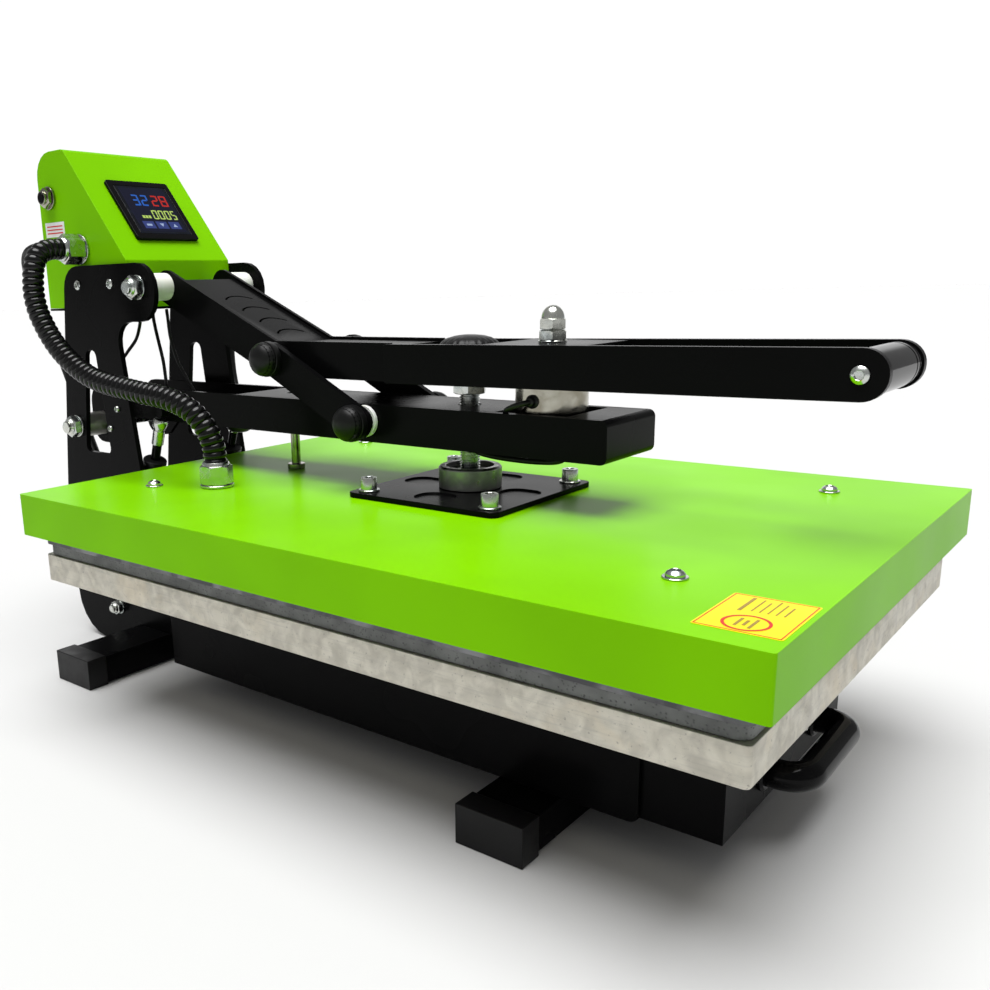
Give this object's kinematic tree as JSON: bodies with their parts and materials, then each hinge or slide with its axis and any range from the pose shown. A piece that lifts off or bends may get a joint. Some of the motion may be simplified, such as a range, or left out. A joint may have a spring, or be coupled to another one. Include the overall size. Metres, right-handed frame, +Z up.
{
  "type": "clamshell heat press",
  "caption": "Large-format clamshell heat press: green heated platen on a gas-sprung arm, pull-out lower slab, long handle with magnetic latch, tilted control box and conduit.",
  "frame": {"origin": "centre of the press's footprint on the bench, without the mains cord", "axes": "+X to the operator's right, the operator stands at -Y, +Z up"},
  "size_m": [0.453, 0.941, 0.492],
  "materials": {
    "green_paint": "lime-green powder coat, fine orange peel, satin",
    "black_paint": "black powder coat, fine texture, semi-matt",
    "gloss_black": "glossy black moulding",
    "black_plastic": "matt black moulding",
    "zinc": "bright zinc plate",
    "chrome": "chrome plate",
    "cast_aluminium": "raw mottled cast aluminium with machined edges",
    "heater_metal": "dark coated aluminium",
    "steel": "turned steel",
    "silicone": "grey dimpled silicone sponge",
    "insulation": "pale insulating fibre board",
    "nylon": "natural white nylon",
    "conduit_plastic": "glossy black corrugated conduit",
    "cord_rubber": "black cable jacket",
    "display_glass": "dark glossy display window"
  },
  "bodies": {
    "frame": {"foot_front": "black_paint", "foot_rear": "black_paint", "foot_cap_front_l": "black_plastic", "foot_cap_front_r": "black_plastic", "foot_cap_rear_l": "black_plastic", "foot_cap_rear_r": "black_plastic", "base_channel": "black_paint", "side_plate_l": "black_paint", "side_plate_r": "black_paint", "pivot_bolt_top": "zinc", "pivot_bolt_rear": "zinc", "spring_bolt": "zinc", "bush_top_l": "nylon", "bush_top_r": "nylon", "sleeve_rear_l": "steel", "sleeve_rear_r": "steel", "control_box": "green_paint", "control_box_floor": "black_paint", "display_bezel": "gloss_black", "display_screen": "display_glass", "breaker_body": "chrome", "conduit_gland_box": "zinc", "conduit": "conduit_plastic", "cable_gland": "black_plastic", "magnet_cable": "cord_rubber", "sensor_wire": "cord_rubber", "mains_gland": "black_plastic", "mains_cord": "cord_rubber", "mains_coil": "cord_rubber", "mains_plug": "black_plastic"},
    "drawer": {"drawer_tray": "black_paint", "lower_slab": "cast_aluminium", "silicone_pad": "silicone", "drawer_handle": "gloss_black"},
    "lower_arm": {"lower_arm_channel": "black_paint", "lower_arm_deck": "black_paint", "electromagnet": "chrome"},
    "platen": {"platen_cover": "green_paint", "heating_plate": "heater_metal", "insulation": "insulation", "hub_plate": "black_paint", "hub": "steel", "guide_rod": "chrome", "conduit_gland_cover": "zinc"},
    "spindle": {"pressure_spindle": "zinc", "pressure_knob": "black_plastic"},
    "handle_arm": {"handle_channel": "black_paint", "handle_bar_l": "black_paint", "handle_bar_r": "black_paint", "grip_bolt": "zinc", "armature_bridge": "black_paint", "armature_bolt": "zinc"},
    "grip": {"roller_grip": "black_plastic"},
    "link_left": {"link_l": "black_paint"},
    "link_right": {"link_r": "black_paint"},
    "spring_left": {"gas_spring_body_l": "black_paint"},
    "spring_rod_left": {"gas_spring_rod_l": "zinc"},
    "spring_right": {"gas_spring_body_r": "black_paint"},
    "spring_rod_right": {"gas_spring_rod_r": "zinc"},
    "breaker_push": {"breaker_button": "gloss_black"}
  },
  "joints": [
    {"name": "lower_arm_hinge", "type": "hinge", "parent": "frame", "child": "lower_arm", "pos_m": [0, 0.357, 0.226], "axis": [-1, 0, 0], "range_deg": [0, 28], "deforming": ["conduit", "magnet_cable", "sensor_wire"]},
    {"name": "platen_slide", "type": "slide", "parent": "lower_arm", "child": "platen", "axis": [0, 0, 1], "range_m": [0, 0.006]},
    {"name": "spindle_turn", "type": "hinge", "parent": "platen", "child": "spindle", "pos_m": [0, -0.083, 0.25], "axis": [0, 0, 1], "range_deg": [0, 1081]},
    {"name": "handle_hinge", "type": "hinge", "parent": "frame", "child": "handle_arm", "pos_m": [0, 0.237, 0.361], "axis": [-1, 0, 0], "range_deg": [0, 72]},
    {"name": "grip_spin", "type": "hinge", "parent": "handle_arm", "child": "grip", "pos_m": [0, -0.375, 0.3008], "axis": [1, 0, 0], "continuous": true},
    {"name": "link_left_hinge", "type": "hinge", "parent": "handle_arm", "child": "link_left", "pos_m": [-0.048, 0.086, 0.299], "axis": [-1, 0, 0], "range_deg": [-83, 0]},
    {"name": "spring_left_hinge", "type": "hinge", "parent": "frame", "child": "spring_left", "pos_m": [-0.049, 0.312, 0.041], "axis": [-1, 0, 0], "range_deg": [0, 8.5]},
    {"name": "spring_left_stroke", "type": "slide", "parent": "spring_left", "child": "spring_rod_left", "axis": [0, -0.3246, 0.9459], "range_m": [0, 0.045]},
    {"name": "link_right_hinge", "type": "hinge", "parent": "handle_arm", "child": "link_right", "pos_m": [0.048, 0.086, 0.299], "axis": [-1, 0, 0], "range_deg": [-83, 0]},
    {"name": "spring_right_hinge", "type": "hinge", "parent": "frame", "child": "spring_right", "pos_m": [0.049, 0.312, 0.041], "axis": [-1, 0, 0], "range_deg": [0, 8.5]},
    {"name": "spring_right_stroke", "type": "slide", "parent": "spring_right", "child": "spring_rod_right", "axis": [0, -0.3246, 0.9459], "range_m": [0, 0.045]},
    {"name": "drawer_slide", "type": "slide", "parent": "frame", "child": "drawer", "axis": [0, -1, 0], "range_m": [0, 0.22]},
    {"name": "breaker_press", "type": "slide", "parent": "frame", "child": "breaker_push", "axis": [1, 0, 0], "range_m": [0, 0.003], "stiffness_N_per_m": 400}
  ],
  "couplings": [
    {"joint": "handle_hinge", "follows": "lower_arm_hinge", "ratio": 2.54},
    {"joint": "link_left_hinge", "follows": "lower_arm_hinge", "ratio": -2.9329},
    {"joint": "spring_left_hinge", "follows": "lower_arm_hinge", "ratio": 0.29964},
    {"joint": "spring_left_stroke", "follows": "lower_arm_hinge", "m_per_rad": 0.09104},
    {"joint": "link_right_hinge", "follows": "lower_arm_hinge", "ratio": -2.9329},
    {"joint": "spring_right_hinge", "follows": "lower_arm_hinge", "ratio": 0.29964},
    {"joint": "spring_right_stroke", "follows": "lower_arm_hinge", "m_per_rad": 0.09104},
    {"joint": "spindle_turn", "follows": "platen_slide", "rad_per_m": 3141.6}
  ]
}
